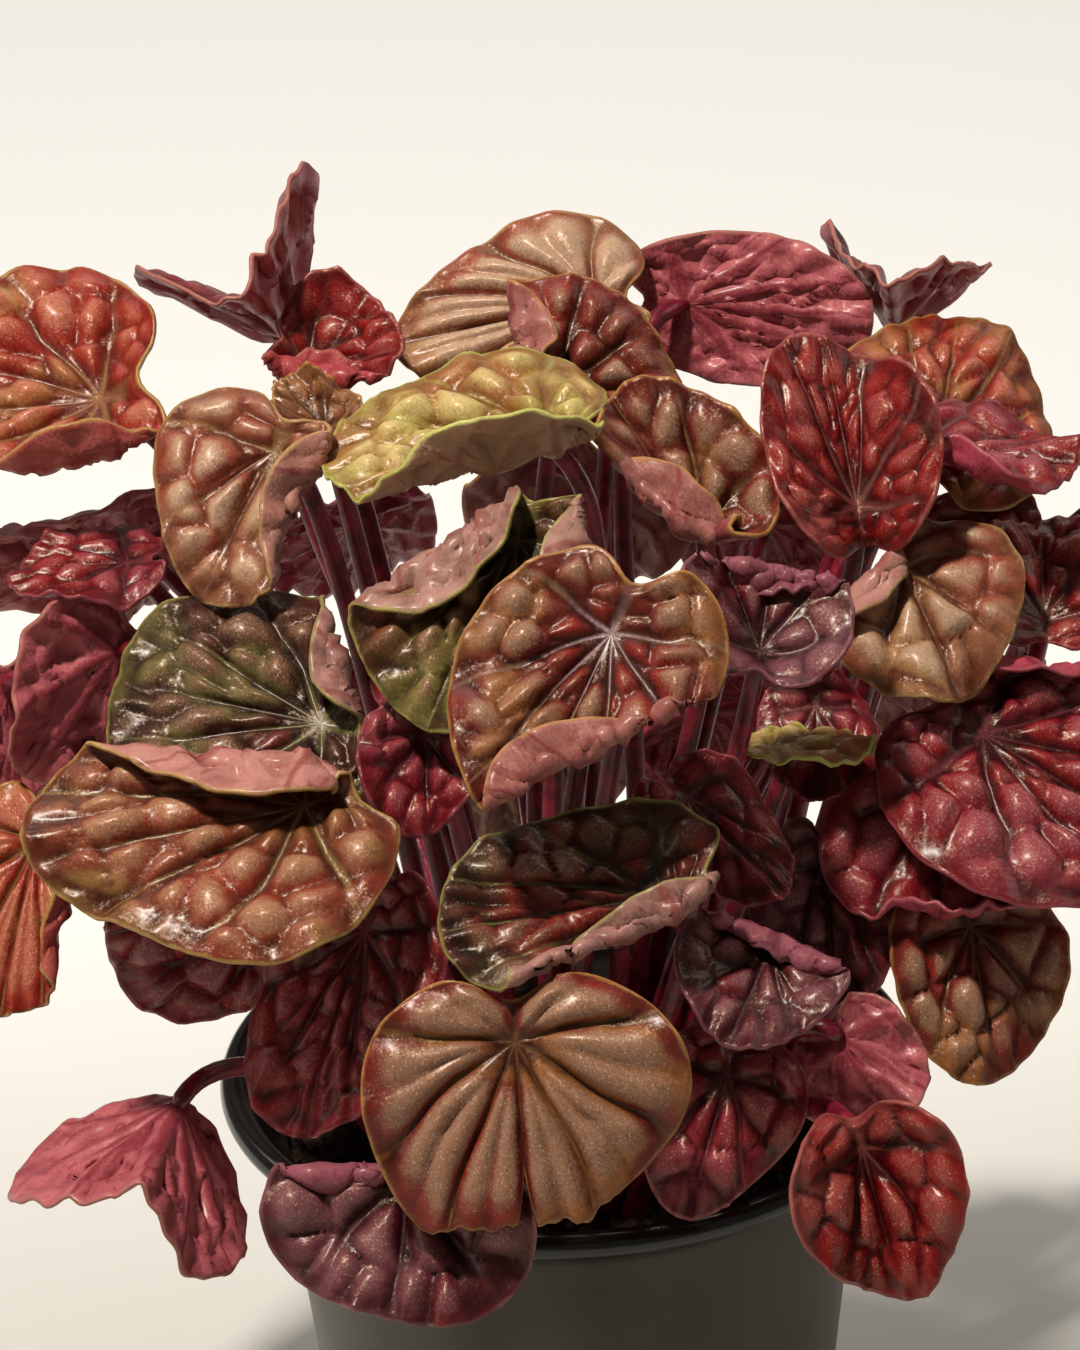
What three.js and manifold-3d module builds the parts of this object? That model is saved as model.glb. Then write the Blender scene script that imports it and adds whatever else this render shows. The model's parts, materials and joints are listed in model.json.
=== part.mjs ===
// A potted quito peperomia: a dense tuft of quilted, wine-red and bronze leaves on long red
// stalks, growing out of dark soil in a tapered plastic nursery pot with a flared lip.
// Millimetres, +Z up, -Y towards the viewer. The origin is the centre of the pot's foot, on
// the surface that it stands on.
import * as THREE from "three";
import { mergeVertices } from "three/addons/utils/BufferGeometryUtils.js";
import Module from "manifold-3d";

const wasm = await Module();
wasm.setup();

// Driving dimensions of the pot and its soil
const POT_HEIGHT = 105;
const LIP_RADIUS = 60;
const LIP_WIDTH = 5;
const LIP_DROP = 10; // how far below the lip's top the flare meets the straight wall
const WALL_TOP_RADIUS = 50.9; // outside, where the flare ends
const FOOT_RADIUS = 40.5;
const WALL = 1.4;
const FOOT_RECESS = 2; // the floor is raised by this between the foot's pad and its ring
const FOOT_RING = 6;
const FOOT_PAD = 12;
const POT_FLOOR = 4; // top of the floor
const DRAIN_HOLES = 6;
const DRAIN_RADIUS = 4;
const DRAIN_CIRCLE = 24;
const DRAIN_SIDES = 10;
const POT_SIDES = 32;
const SOIL_TOP = 92;
const SOIL_LUMP = 1.6;
const SOIL_RINGS = 2;
const SOIL_SIDES = 16;
const SEAT_GAP = 0.3; // left between pieces that touch

// Driving dimensions that all the leaves share
const BLADE = 1.1; // thickness
const HEEL = 0.27; // share of the blade's length that lies behind the stalk's joint
const SINUS = 0.12; // depth of the notch at the base, as a share of the length
const SINUS_WIDTH = 0.22; // radians
const WIDEST = 0.14; // how far the widest place is drawn towards the base
const ARCH = 0.22; // how much the side veins curve towards the tip
const PUCKER = 0.072; // height of the quilting, as a share of the blade's width
const TALLEST = 2.9; // the quilting stands no higher than this
const QUILT_START = 0.35; // share of the way out from which the quilting is at its full height
const QUILT_END = 0.72; // and from which it sinks again
const QUILT_EDGE = 0.25; // to this share of its height at the margin
const CREASE = 1.4; // radius of a folded blade's midrib
const LOBING = 0.045; // how far the outline strays from a plain oval, as a share
const VEINS = [0, 40, 84, 132, 180].map(THREE.MathUtils.degToRad);
const FEW_VEINS = [0, 55, 115, 180].map(THREE.MathUtils.degToRad);
const SMALL = 39; // a leaf shorter than this has the few veins
const STALK_RADIUS = 1.5;
const STALK_FOOT_RADIUS = 1.9;
const STALK_SIDES = 5;
const STALK_STEPS = 6;
const STALK_DEPTH = 5; // how deep a stalk stands in the soil
const STALK_SLANT = THREE.MathUtils.degToRad(50); // between the stalk's end and the blade
const STALK_POINT = 2.6; // length over which a stalk narrows to a point inside the blade
const STALK_POINT_RADIUS = 0.4;
const RISE = 70; // the point below the pot's middle that the stalks seem to spread from
const LOW_HANDLE = 0.45; // share of a stalk's reach over which it keeps its first direction
const NECK = 0.22; // share over which it bends to meet the blade
const TUFT_SHARE = 0.3; // a stalk's foot stands this share of the way out to its leaf
const TUFT_RADIUS = 33;

const Z = new THREE.Vector3(0, 0, 1);

const COLOURS = {
  olive: 0x4a3a26,
  umber: 0x32180f,
  bronze: 0x8a4a34,
  tan: 0x9a6a50,
  green: 0x8a8a4a,
  wine: 0x5c1424,
  plum: 0x4a1a2a,
  red: 0x8c1420,
  orange: 0xa8402a,
  rust: 0x83452c,
  rose: 0xa04a54,
};

// One row per leaf. at: the middle of its blade. face: the way its upper side looks, as a
// compass angle (0 is -Y, towards the viewer, and 90 is +X) and a height above the horizon.
// tip: the turn of its tip, clockwise from straight up, for someone looking at its upper side.
// size: width and length. Some leaves have more. cup: how far the margin stands above the
// middle. fold: how far each half rises from the midrib, in degrees. wave: how far the margin
// ruffles. blunt: the share of the length where the tip ends square. rolls: [side, width, angle,
// radius] curls the margin over on that side (0 is the tip, 90 the right), towards the upper
// face, by an angle, round an arc of that radius; the width is that of the curled strip before
// it curls. root: shifts the stalk's foot. neck: stands in for NECK. bow: shifts the stalk's
// middle aside.
const LEAVES = [
  { at: [-84, 13, 225], face: [-15, 62], tip: -106, size: [54, 48], tone: "orange",
    cup: 4, root: [6, 6], rolls: [[-94, 16, 100, 6]] },
  { at: [-83, 21, 193], face: [-164, 40], tip: 108, size: [40, 52], tone: "rose",
    root: [5, -4], bow: [0, 6, 0] },
  { at: [-44, 30, 232], face: [-141, 42], tip: 41, size: [52, 38], tone: "rose",
    fold: 50, wave: 2.5 },
  { at: [-34, 22, 227], face: [-10, 62], tip: 96, size: [26, 24], tone: "red",
    cup: 6, wave: 2, root: [4, 0], rolls: [[90, 8, 100, 3]] },
  { at: [-38, 6, 225], face: [26, 62], tip: -20, size: [16, 16], tone: "bronze",
    cup: 2, root: [1, 0], bow: [-3, 5, 0] },
  { at: [-48, -10, 218], face: [-8, 41], tip: -157, size: [36, 36], tone: "tan",
    root: [-1, 0], neck: 0.1, bow: [3, -4, 0], rolls: [[-95, 12, 160, 2.5]] },
  { at: [-12, -12, 226], face: [-22, 74], tip: -116, size: [44, 50], tone: "green",
    rolls: [[-97, 20, 80, 7]] },
  { at: [-10, -39, 212], face: [-13, 46], tip: -162, size: [48, 46], tone: "olive",
    rolls: [[122, 16, 165, 2.6], [-112, 13, 160, 2.6]] },
  { at: [-2, 35, 229], face: [-9, 47], tip: -104, size: [34, 46], tone: "tan",
    neck: 0.1, rolls: [[-95, 11, 130, 3]] },
  { at: [4, 19, 229], face: [8, 43], tip: 17, size: [40, 26], tone: "bronze",
    root: [-4, -2], rolls: [[-90, 14, 150, 3]] },
  { at: [35, 40, 227], face: [174, -14], tip: -94, size: [27, 44], tone: "rose" },
  { at: [20, -9, 216], face: [13, 49], tip: -25, size: [30, 36], tone: "bronze",
    cup: 6, rolls: [[-110, 13, 130, 3.4]] },
  { at: [49, -3, 219], face: [0, 44], tip: -8, size: [34, 42], tone: "red",
    fold: 36, wave: 3, root: [-4, 3] },
  { at: [67, 18, 218], face: [20, 52], tip: 29, size: [38, 40], tone: "orange",
    cup: -3, root: [1, 6] },
  { at: [71, -2, 217], face: [0, 84], tip: 108, size: [28, 36], tone: "wine",
    wave: 3, root: [2, -1], rolls: [[90, 9, 75, 4]] },
  { at: [60, 43, 224], face: [157, 50], tip: -12, size: [38, 28], tone: "rose",
    fold: 41, root: [0, 2] },
  { at: [34, -35, 206], face: [9, 50], tip: 17, size: [27, 32], tone: "plum",
    cup: 5, root: [1, -1], rolls: [[0, 10, 130, 3]] },
  { at: [60, -20, 198], face: [8, 47], tip: 166, size: [34, 34], tone: "tan",
    wave: 3, root: [4, -3], neck: 0.12, bow: [5, 3, 0], rolls: [[149, 10, 160, 2.4]] },
  { at: [43, -17, 174], face: [0, 50], tip: 180, size: [20, 24], tone: "wine",
    root: [3, 4], neck: 0.1 },
  { at: [4, -62, 205], face: [-4, 47], tip: -157, size: [42, 51], tone: "bronze",
    cup: 2, root: [-2, 2], rolls: [[-48, 14, 165, 2.6]] },
  { at: [-49, -33, 191], face: [-10, 53], tip: -80, size: [44, 52], tone: "umber",
    neck: 0.08, rolls: [[148, 12, 165, 2.8]] },
  { at: [-53, -65, 187], face: [-10, 56], tip: -107, size: [50, 58], tone: "rust",
    rolls: [[105, 17, 165, 2.8], [150, 12, 140, 2.8]] },
  { at: [-21, -48, 187], face: [0, 44], tip: 180, size: [26, 22], tone: "wine",
    fold: 30 },
  { at: [4, -70, 172], face: [0, 60], tip: -102, size: [36, 48], tone: "umber",
    cup: 3, root: [4, -5], rolls: [[-106, 11, 150, 2.6]] },
  { at: [-8, -90, 148], face: [0, 23], tip: 178, size: [50, 46], tone: "bronze",
    blunt: 0.62 },
  { at: [-35, -71, 159], face: [-26, 36], tip: -175, size: [32, 46], tone: "wine" },
  { at: [-59, -51, 162], face: [0, 2], tip: -90, size: [34, 32], tone: "rose",
    root: [-7, -3], rolls: [[90, 15, 150, 4]] },
  { at: [-65, -72, 135], face: [-87, -67], tip: 77, size: [54, 40], tone: "rose",
    fold: 42 },
  { at: [-27, -88, 127], face: [-7, 32], tip: -177, size: [42, 34], tone: "plum",
    cup: 3, rolls: [[180, 8, 140, 2.5]] },
  { at: [25, -50, 175], face: [18, 49], tip: 152, size: [20, 30], tone: "wine",
    wave: 2.5, root: [-1.5, 1] },
  { at: [30, -68, 157], face: [9, 50], tip: -149, size: [26, 27], tone: "plum",
    cup: 4, wave: 1.2, rolls: [[180, 6, 120, 2.5]] },
  { at: [23, -71, 134], face: [0, 32], tip: -162, size: [26, 32], tone: "wine",
    cup: -2, root: [2, -8] },
  { at: [47, -90, 130], face: [6, 20], tip: 169, size: [34, 34], tone: "red",
    fold: 40, wave: 3, root: [6, -3] },
  { at: [47, -57, 134], face: [161, -25], tip: -142, size: [22, 24], tone: "rose",
    root: [3, -2] },
  { at: [67, -45, 144], face: [20, 31], tip: -177, size: [32, 34], tone: "bronze",
    wave: 1, root: [5, -4] },
  { at: [80, -35, 174], face: [15, 56], tip: 138, size: [52, 58], tone: "wine",
    root: [5, 1], rolls: [[-122, 11, 150, 2.8]] },
  { at: [61, -40, 164], face: [0, 38], tip: 180, size: [36, 34], tone: "wine",
    root: [3, -3], rolls: [[0, 9, 110, 3]] },
  { at: [-90, -12, 179], face: [-168, -14], tip: 180, size: [20, 28], tone: "rose",
    root: [-3, 1] },
  { at: [-76, -17, 188], face: [-150, -5], tip: 134, size: [32, 32], tone: "rose",
    root: [-1, -2] },
  { at: [-75, -8, 206], face: [0, 80], tip: -93, size: [22, 26], tone: "wine",
    root: [1, 1] },
  { at: [-88, -34, 158], face: [-22, 36], tip: -179, size: [30, 42], tone: "orange",
    root: [0, -5], rolls: [[-90, 9, 120, 3]] },
  { at: [81, -7, 195], face: [10, 56], tip: 12, size: [28, 28], tone: "red",
    fold: 20, root: [4, -3] },
  { at: [72, 8, 197], face: [7, 32], tip: 172, size: [22, 20], tone: "rose",
    wave: 1, root: [5, -1] },
  { at: [101, 8, 204], face: [10, 56], tip: 99, size: [28, 28], tone: "rose",
    root: [2, 5] },
  { at: [43, -40, 154], face: [7, 38], tip: -177, size: [24, 34], tone: "plum",
    root: [4, -3] },
  { at: [-20, -6, 183], face: [0, 44], tip: 161, size: [20, 22], tone: "wine",
    root: [0, -5], neck: 0.08 },
  { at: [40, -30, 179], face: [180, 76], tip: -86, size: [20, 24], tone: "green",
    root: [6, 2] },
  { at: [-66, 52, 177], face: [-130, 45], tip: 170, size: [36, 38], tone: "bronze" },
  { at: [-36, 70, 172], face: [-160, 40], tip: 190, size: [36, 42], tone: "wine" },
  { at: [6, 58, 180], face: [178, 28], tip: 163, size: [40, 50], tone: "bronze" },
  { at: [39, 63, 170], face: [162, 28], tip: 172, size: [36, 46], tone: "wine" },
  { at: [68, 48, 182], face: [128, 45], tip: 190, size: [36, 42], tone: "orange",
    root: [7, 4] },
  { at: [-84, 36, 150], face: [-112, 28], tip: 180, size: [34, 38], tone: "wine" },
  { at: [-45, 78, 131], face: [-148, 20], tip: 175, size: [34, 38], tone: "red" },
  { at: [-6, 80, 121], face: [-178, 15], tip: 185, size: [40, 44], tone: "olive" },
  { at: [28, 80, 123], face: [165, 12], tip: 176, size: [38, 42], tone: "wine" },
  { at: [64, 66, 140], face: [135, 25], tip: 182, size: [34, 38], tone: "bronze" },
  { at: [88, 30, 150], face: [108, 22], tip: 178, size: [34, 38], tone: "wine" },
];

// A repeatable draw from 0 to 1 for leaf number n
function chance(n, k) {
  const x = Math.sin(n * 12.9898 + k * 78.233) * 43758.5453;
  return x - Math.floor(x);
}

function smooth(from, to, x) {
  const t = Math.min(1, Math.max(0, (x - from) / (to - from)));
  return t * t * (3 - 2 * t);
}

// The flat blade's margin, with the stalk's joint at the origin and the tip along +Y
function margin(leaf, angle) {
  const [width, length] = leaf.size;
  const sinus = Math.exp(-(((Math.PI - Math.abs(angle)) / SINUS_WIDTH) ** 2));
  const across = 0.5 * width * Math.sin(angle) * (1 - WIDEST * Math.cos(angle));
  const along = length * (0.5 - HEEL + 0.5 * Math.cos(angle) + SINUS * sinus);
  const stray =
    Math.sin(2 * angle + 6.3 * chance(leaf.n, 11)) + Math.sin(3 * angle + 6.3 * chance(leaf.n, 12));
  const grown = 1 + LOBING * stray;
  return [grown * across, Math.min(grown * along, (leaf.blunt ?? 1) * length)];
}

// How far the flat blade reaches from its joint on one side
function reachOf(leaf, side) {
  const turn = THREE.MathUtils.degToRad(side);
  let reach = 0;
  for (let i = 0; i < 72; i += 1) {
    const [x, y] = margin(leaf, ((i - 36) * Math.PI) / 36);
    reach = Math.max(reach, x * Math.sin(turn) + y * Math.cos(turn));
  }
  return reach;
}

// Bends space beyond a line across the blade, by an angle, round an arc
function roll(p, [side, start, degrees, radius]) {
  const turn = THREE.MathUtils.degToRad(side);
  const ox = Math.sin(turn);
  const oy = Math.cos(turn);
  const out = p.x * ox + p.y * oy - start;
  if (out <= 0) return;
  const sign = Math.sign(degrees);
  const full = THREE.MathUtils.degToRad(Math.abs(degrees));
  const a = Math.min(out / radius, full);
  const rest = out - a * radius;
  const lift = radius - sign * p.z;
  const moved = lift * Math.sin(a) + rest * Math.cos(a);
  p.z = sign * (radius - lift * Math.cos(a) + rest * Math.sin(a));
  p.x += (moved - out) * ox;
  p.y += (moved - out) * oy;
}

// A point of the blade's upper face. share runs from the joint to the margin, spoke is the
// angle from the tip, and crest is 0 on a vein and 1 midway between two.
function bladePoint(leaf, share, spoke, crest) {
  const angle = spoke * (1 - ARCH * share * Math.cos(spoke / 2) ** 2);
  const [mx, my] = margin(leaf, angle);
  const p = new THREE.Vector3(share * mx, share * my, 0);
  const body = smooth(0, QUILT_START, share) * (1 - (1 - QUILT_EDGE) * smooth(QUILT_END, 1, share));
  const ruffle =
    0.6 * Math.sin(3 * spoke + 6.3 * chance(leaf.n, 1)) +
    0.5 * Math.sin(5 * spoke + 6.3 * chance(leaf.n, 2));
  p.z = leaf.pucker * crest * body + leaf.wave * share ** 3 * ruffle + leaf.cup * share ** 2;
  if (leaf.fold) {
    const half = THREE.MathUtils.degToRad(leaf.fold);
    p.z += (Math.hypot(p.x, CREASE) - CREASE) * Math.sin(half);
    p.x *= Math.cos(half);
  }
  for (const bend of leaf.rolls) roll(p, bend);
  return p;
}

// Tip and face directions, the joint's place, and the matrix that sets the flat blade there
function leafFrame(leaf) {
  const [compass, height] = leaf.face.map(THREE.MathUtils.degToRad);
  const face = new THREE.Vector3(
    Math.sin(compass) * Math.cos(height),
    -Math.cos(compass) * Math.cos(height),
    Math.sin(height),
  );
  const up = Z.clone().addScaledVector(face, -face.z).normalize();
  const right = up.clone().cross(face);
  const turn = THREE.MathUtils.degToRad(leaf.tip);
  const tip = up.multiplyScalar(Math.cos(turn)).addScaledVector(right, Math.sin(turn));
  const side = tip.clone().cross(face);
  const joint = new THREE.Vector3(...leaf.at);
  joint.addScaledVector(tip, -(0.5 - HEEL) * leaf.size[1]);
  const matrix = new THREE.Matrix4().makeBasis(side, tip, face).setPosition(joint);
  return { tip, face, joint, matrix };
}

function solidFrom(positions, triangles) {
  const geometry = new THREE.BufferGeometry();
  geometry.setAttribute("position", new THREE.Float32BufferAttribute(positions, 3));
  geometry.setIndex(triangles);
  return solidOf(geometry);
}

function solidOf(geometry) {
  const bare = new THREE.BufferGeometry();
  const source = geometry.index ? geometry : mergeVertices(geometry);
  bare.setAttribute("position", source.getAttribute("position"));
  bare.setIndex(source.index);
  const merged = mergeVertices(bare, 1e-4);
  return new wasm.Manifold(
    new wasm.Mesh({
      numProp: 3,
      vertProperties: merged.attributes.position.array,
      triVerts: new Uint32Array(merged.index.array),
    }),
  );
}

function geometryOf(solid) {
  const mesh = solid.getMesh();
  const geometry = new THREE.BufferGeometry();
  geometry.setAttribute("position", new THREE.Float32BufferAttribute(mesh.vertProperties, 3));
  geometry.setIndex(Array.from(mesh.triVerts));
  geometry.computeVertexNormals();
  return geometry;
}

// The spokes of the blade's mesh, on each vein and midway between: [angle, crest]
function spokesOf(leaf) {
  const veins = leaf.size[1] < SMALL ? FEW_VEINS : VEINS;
  const half = [];
  for (let i = 0; i < veins.length - 1; i += 1) {
    half.push([veins[i], 0], [(veins[i] + veins[i + 1]) / 2, 1]);
  }
  const right = half.slice(1);
  const left = right.map(([angle, crest]) => [-angle, crest]).reverse();
  return [[0, 0], ...right, [Math.PI, 0], ...left];
}

function bladeSolid(leaf, frame) {
  const spokes = spokesOf(leaf);
  const rings = leaf.rolls.length ? [0.45, 0.75, 1] : [0.4, 0.75, 1];
  if (leaf.size[1] < SMALL) rings.splice(1, 1);
  const count = spokes.length;
  const upper = [bladePoint(leaf, 0, 0, 0)];
  for (const ring of rings) {
    for (const [angle, crest] of spokes) upper.push(bladePoint(leaf, ring, angle, crest));
  }
  const faces = [];
  const at = (ring, spoke) => 1 + ring * count + (spoke % count);
  for (let s = 0; s < count; s += 1) {
    faces.push([0, at(0, s + 1), at(0, s)]);
    for (let r = 0; r < rings.length - 1; r += 1) {
      const [a, b, c, d] = [at(r, s), at(r + 1, s), at(r + 1, s + 1), at(r, s + 1)];
      faces.push([a, c, b], [a, d, c]);
    }
  }
  const normals = upper.map(() => new THREE.Vector3());
  for (const [a, b, c] of faces) {
    const normal = upper[b].clone().sub(upper[a]).cross(upper[c].clone().sub(upper[a]));
    for (const corner of [a, b, c]) normals[corner].add(normal);
  }
  const lower = upper.map((p, i) => p.clone().addScaledVector(normals[i].normalize(), -BLADE));
  const total = upper.length;
  const triangles = faces.flat();
  for (const [a, b, c] of faces) triangles.push(a + total, c + total, b + total);
  const last = rings.length - 1;
  for (let s = 0; s < count; s += 1) {
    const [a, b] = [at(last, s), at(last, s + 1)];
    triangles.push(a, b, b + total, a, b + total, a + total);
  }
  const positions = [...upper, ...lower].flatMap((p) => p.applyMatrix4(frame.matrix).toArray());
  return solidFrom(positions, triangles);
}

// Where a stalk's foot stands on the soil: drawn in towards the middle of the tuft
function stalkFoot(leaf) {
  const foot = new THREE.Vector2(leaf.at[0], leaf.at[1]).multiplyScalar(TUFT_SHARE);
  foot.clampLength(0, TUFT_RADIUS);
  return foot.add(new THREE.Vector2(...(leaf.root ?? [0, 0])));
}

function stalkCurve(leaf, frame) {
  const foot = stalkFoot(leaf);
  const start = new THREE.Vector3(foot.x, foot.y, SOIL_TOP - STALK_DEPTH);
  const end = frame.joint.clone().addScaledVector(frame.face, -0.5 * BLADE);
  const reach = start.distanceTo(end);
  const rise = new THREE.Vector3(foot.x, foot.y, RISE).normalize();
  const back = frame.tip.clone().multiplyScalar(-Math.cos(STALK_SLANT));
  back.addScaledVector(frame.face, -Math.sin(STALK_SLANT));
  const bow = new THREE.Vector3(...(leaf.bow ?? [0, 0, 0]));
  return new THREE.CubicBezierCurve3(
    start,
    start.clone().addScaledVector(rise, LOW_HANDLE * reach).add(bow),
    end.clone().addScaledVector(back, (leaf.neck ?? NECK) * reach).add(bow),
    end,
  );
}

// A closed tube along the stalk that narrows to a point inside the blade; grow widens it
function stalkSolid(curve, grow) {
  const frames = curve.computeFrenetFrames(STALK_STEPS, false);
  const straight = 1 - STALK_POINT / curve.getLength();
  const positions = [];
  const triangles = [];
  for (let i = 0; i <= STALK_STEPS; i += 1) {
    const last = i === STALK_STEPS;
    const share = last ? 1 : (i / (STALK_STEPS - 1)) * straight;
    const taper = THREE.MathUtils.lerp(STALK_FOOT_RADIUS, STALK_RADIUS, share);
    const wide = grow + (last ? STALK_POINT_RADIUS : taper);
    for (let s = 0; s < STALK_SIDES; s += 1) {
      const turn = (2 * Math.PI * s) / STALK_SIDES;
      const p = curve.getPointAt(share);
      p.addScaledVector(frames.normals[i], wide * Math.cos(turn));
      p.addScaledVector(frames.binormals[i], wide * Math.sin(turn));
      if (i === 0) p.z -= grow;
      positions.push(...p.toArray());
    }
  }
  for (let i = 0; i < STALK_STEPS; i += 1) {
    const low = i * STALK_SIDES;
    const high = low + STALK_SIDES;
    for (let s = 0; s < STALK_SIDES; s += 1) {
      const t = (s + 1) % STALK_SIDES;
      triangles.push(low + s, low + t, high + t, low + s, high + t, high + s);
    }
  }
  const top = STALK_STEPS * STALK_SIDES;
  for (let s = 1; s < STALK_SIDES - 1; s += 1) {
    triangles.push(0, s + 1, s, top, top + s, top + s + 1);
  }
  return solidFrom(positions, triangles);
}

// The inside radius of the pot's tapered wall at a height
function innerRadius(z) {
  const taper = (WALL_TOP_RADIUS - FOOT_RADIUS) / (POT_HEIGHT - LIP_DROP);
  return FOOT_RADIUS + taper * z - WALL;
}

// The pot: straight tapered wall, a flared and rolled lip, a raised floor with drain holes
function potSolid() {
  const flare = POT_HEIGHT - LIP_DROP;
  const profile = [
    [0, 0],
    [FOOT_PAD, 0],
    [FOOT_PAD + 1, FOOT_RECESS],
    [FOOT_RADIUS - FOOT_RING, FOOT_RECESS],
    [FOOT_RADIUS - FOOT_RING + 1, 0],
    [FOOT_RADIUS - 1, 0],
    [FOOT_RADIUS, 1.2],
    [WALL_TOP_RADIUS, flare],
    [WALL_TOP_RADIUS + 3.2, flare + 2.6],
    [LIP_RADIUS - 1.8, POT_HEIGHT - 4.4],
    [LIP_RADIUS, POT_HEIGHT - 2.2],
    [LIP_RADIUS - 0.6, POT_HEIGHT - 0.7],
    [LIP_RADIUS - 2.2, POT_HEIGHT],
    [LIP_RADIUS - LIP_WIDTH, POT_HEIGHT - 1.2],
    [WALL_TOP_RADIUS + 2.4 - WALL, flare + 4],
    [WALL_TOP_RADIUS - WALL, flare],
    [innerRadius(POT_FLOOR), POT_FLOOR],
    [0, POT_FLOOR],
  ].map(([r, z]) => new THREE.Vector2(r, z));
  const lathe = new THREE.LatheGeometry(profile, POT_SIDES).rotateX(Math.PI / 2);
  let pot = solidOf(lathe);
  for (let i = 0; i < DRAIN_HOLES; i += 1) {
    const turn = (2 * Math.PI * i) / DRAIN_HOLES;
    const drill = new THREE.CylinderGeometry(DRAIN_RADIUS, DRAIN_RADIUS, 4 * POT_FLOOR, DRAIN_SIDES);
    drill.rotateX(Math.PI / 2);
    drill.translate(DRAIN_CIRCLE * Math.cos(turn), DRAIN_CIRCLE * Math.sin(turn), 0);
    pot = pot.subtract(solidOf(drill));
  }
  return pot;
}

// The soil fills the pot to SOIL_TOP, with a lumpy top and a hole for each stalk
function soilSolid(stalks) {
  const floor = POT_FLOOR + SEAT_GAP;
  const inside = Math.cos(Math.PI / POT_SIDES); // keeps clear of the flats of the pot's facets
  const radius = (z) => (innerRadius(z) - SEAT_GAP - 0.1) * inside;
  const positions = [0, 0, floor, 0, 0, SOIL_TOP];
  const triangles = [];
  const add = (r, turn, z) => positions.push(r * Math.cos(turn), r * Math.sin(turn), z) / 3 - 1;
  const loops = [];
  for (let k = 0; k <= SOIL_RINGS; k += 1) {
    const loop = [];
    for (let s = 0; s < SOIL_SIDES; s += 1) {
      const turn = (2 * Math.PI * s) / SOIL_SIDES;
      if (k === 0) {
        loop.push(add(radius(floor), turn, floor));
      } else {
        const share = 1 - (k - 1) / SOIL_RINGS;
        const lump = SOIL_LUMP * (2 * chance(k, s) - 1) * (k === 1 ? 0.4 : 1);
        loop.push(add(radius(SOIL_TOP) * share, turn + 0.1 * k, SOIL_TOP + lump));
      }
    }
    loops.push(loop);
  }
  for (let s = 0; s < SOIL_SIDES; s += 1) {
    const t = (s + 1) % SOIL_SIDES;
    triangles.push(0, loops[0][t], loops[0][s], 1, loops[SOIL_RINGS][s], loops[SOIL_RINGS][t]);
    for (let k = 0; k < SOIL_RINGS; k += 1) {
      const low = loops[k];
      const high = loops[k + 1];
      triangles.push(low[s], low[t], high[t], low[s], high[t], high[s]);
    }
  }
  let soil = solidFrom(positions, triangles);
  for (const curve of stalks) soil = soil.subtract(stalkSolid(curve, SEAT_GAP));
  // a crumb that two holes cut loose isn't kept
  return soil.decompose().sort((a, b) => b.volume() - a.volume())[0];
}

const plant = new THREE.Group();

// Adds a sub-part's mesh, with its own origin at a place
function addNode(name, solid, place, colour, roughness) {
  const material = new THREE.MeshStandardMaterial({ color: colour, roughness, metalness: 0 });
  const mesh = new THREE.Mesh(geometryOf(solid), material);
  mesh.geometry.translate(-place.x, -place.y, -place.z);
  mesh.position.copy(place);
  mesh.name = name;
  plant.add(mesh);
}

// A row's leaf with all its settings, and with its rolls' widths as distances from the joint
function leafOf(row, index) {
  const pucker = Math.min(TALLEST, PUCKER * row.size[0]);
  const leaf = { cup: 0, fold: 0, wave: 1.8, pucker, rolls: [], ...row, n: index + 1 };
  leaf.rolls = leaf.rolls.map(([side, width, ...bend]) => [side, reachOf(leaf, side) - width, ...bend]);
  return leaf;
}

const stalks = [];
LEAVES.map(leafOf).forEach((leaf) => {
  const frame = leafFrame(leaf);
  const curve = stalkCurve(leaf, frame);
  stalks.push(curve);
  const solid = bladeSolid(leaf, frame).add(stalkSolid(curve, 0));
  addNode(`leaf_${String(leaf.n).padStart(2, "0")}`, solid, curve.v0, COLOURS[leaf.tone], 0.45);
});
addNode("soil", soilSolid(stalks), new THREE.Vector3(0, 0, POT_FLOOR + SEAT_GAP), 0x1c1410, 0.95);
addNode("pot", potSolid(), new THREE.Vector3(), 0x3a372e, 0.4);

export default plant;
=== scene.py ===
"""Looks for the potted quito peperomia: leaves, stalks, soil, pot, light and camera.

The CAD solids are the frame. Each leaf here follows the same formulas and the same table as its
solid, with a finer mesh: quilting between the veins, a ruffled margin and a shaded skin.
Millimetres in the tables, metres in Blender. +Z is up and -Y is towards the viewer.
"""

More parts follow.
